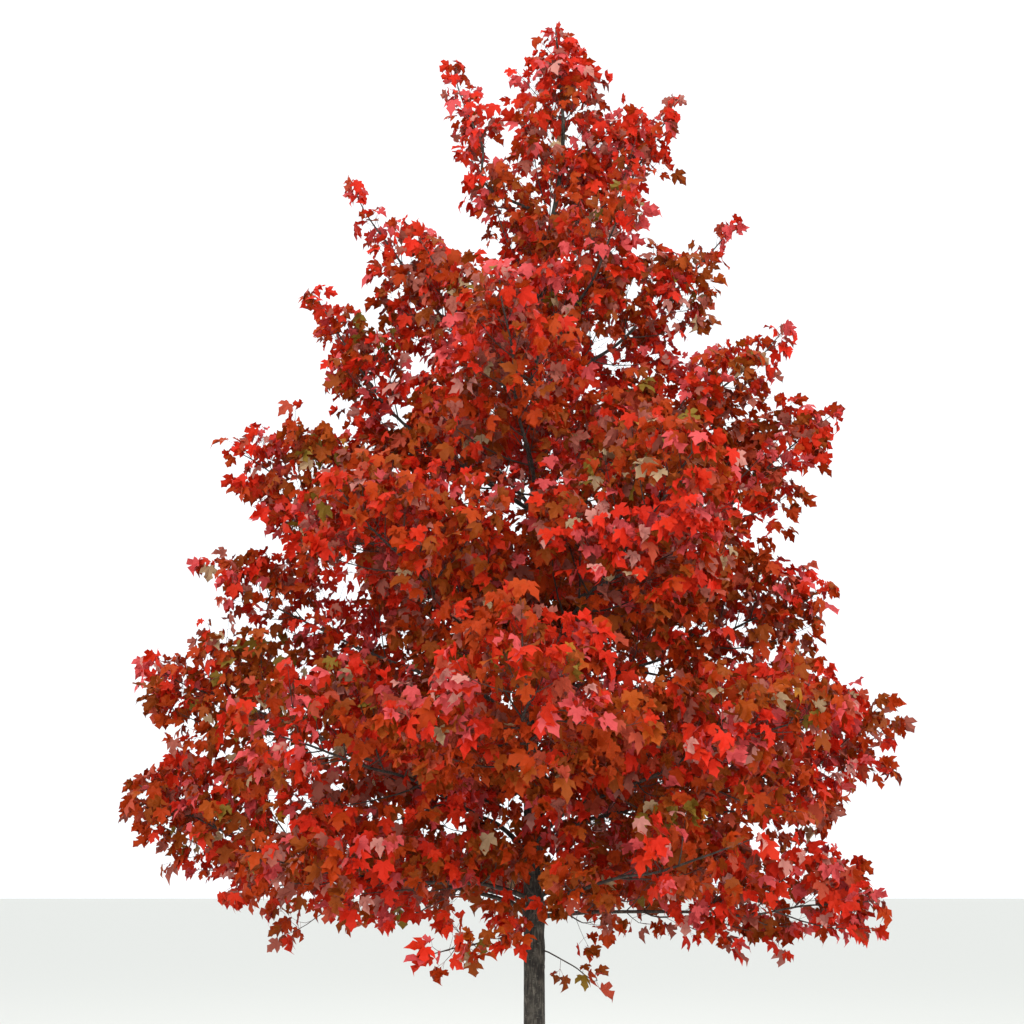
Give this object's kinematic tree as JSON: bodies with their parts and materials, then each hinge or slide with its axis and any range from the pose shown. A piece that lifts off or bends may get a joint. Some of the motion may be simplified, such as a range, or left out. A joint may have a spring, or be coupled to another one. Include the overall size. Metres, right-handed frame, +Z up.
{
  "type": "red maple tree",
  "caption": "Young red maple tree in autumn leaf: a straight leader with tiers of sweeping boughs, each ending in a mass of red foliage, rooted at a flat cut at ground level.",
  "frame": {"origin": "middle of the flat cut under the trunk, at ground level", "axes": "+Z up along the trunk, -Y towards the viewer (front), +X to the viewer's right"},
  "size_m": [4.3868, 3.9831, 7.07],
  "materials": {
    "bark": "smooth dark grey-brown young maple bark with pores and fine cracks",
    "foliage": "autumn maple leaves, satin above and pale and dull beneath, scarlet to maroon"
  },
  "bodies": {
    "root": {"crest_foliage_left": "foliage", "crest_foliage_right": "foliage", "leader_foliage": "foliage", "lower_bough_back_left": "bark", "lower_bough_back_right": "bark", "lower_bough_front": "bark", "lower_bough_front_left": "bark", "lower_bough_front_right": "bark", "lower_bough_left": "bark", "lower_bough_right": "bark", "lower_foliage_back_left": "foliage", "lower_foliage_back_right": "foliage", "lower_foliage_front": "foliage", "lower_foliage_front_left": "foliage", "lower_foliage_front_right": "foliage", "lower_foliage_left": "foliage", "lower_foliage_right": "foliage", "middle_bough_back": "bark", "middle_bough_back_left": "bark", "middle_bough_front_left": "bark", "middle_bough_front_right": "bark", "middle_bough_left": "bark", "middle_bough_low_left": "bark", "middle_bough_low_right": "bark", "middle_bough_right": "bark", "middle_foliage_back": "foliage", "middle_foliage_back_left": "foliage", "middle_foliage_front_left": "foliage", "middle_foliage_front_right": "foliage", "middle_foliage_left": "foliage", "middle_foliage_low_left": "foliage", "middle_foliage_low_right": "foliage", "middle_foliage_right": "foliage", "shoulder_foliage_back": "foliage", "shoulder_foliage_front_left": "foliage", "shoulder_foliage_front_right": "foliage", "shoulder_foliage_left": "foliage", "shoulder_foliage_right": "foliage", "skirt_bough_back_left": "bark", "skirt_bough_back_right": "bark", "skirt_bough_front": "bark", "skirt_bough_front_left": "bark", "skirt_bough_front_right": "bark", "skirt_bough_left": "bark", "skirt_bough_right": "bark", "skirt_bough_sprig": "bark", "skirt_foliage_back_left": "foliage", "skirt_foliage_back_right": "foliage", "skirt_foliage_front": "foliage", "skirt_foliage_front_left": "foliage", "skirt_foliage_front_right": "foliage", "skirt_foliage_left": "foliage", "skirt_foliage_right": "foliage", "skirt_foliage_sprig": "foliage", "trunk": "bark", "upper_foliage_back_left": "foliage", "upper_foliage_back_right": "foliage", "upper_foliage_front": "foliage", "upper_foliage_left": "foliage", "upper_foliage_right": "foliage"}
  },
  "joints": []
}
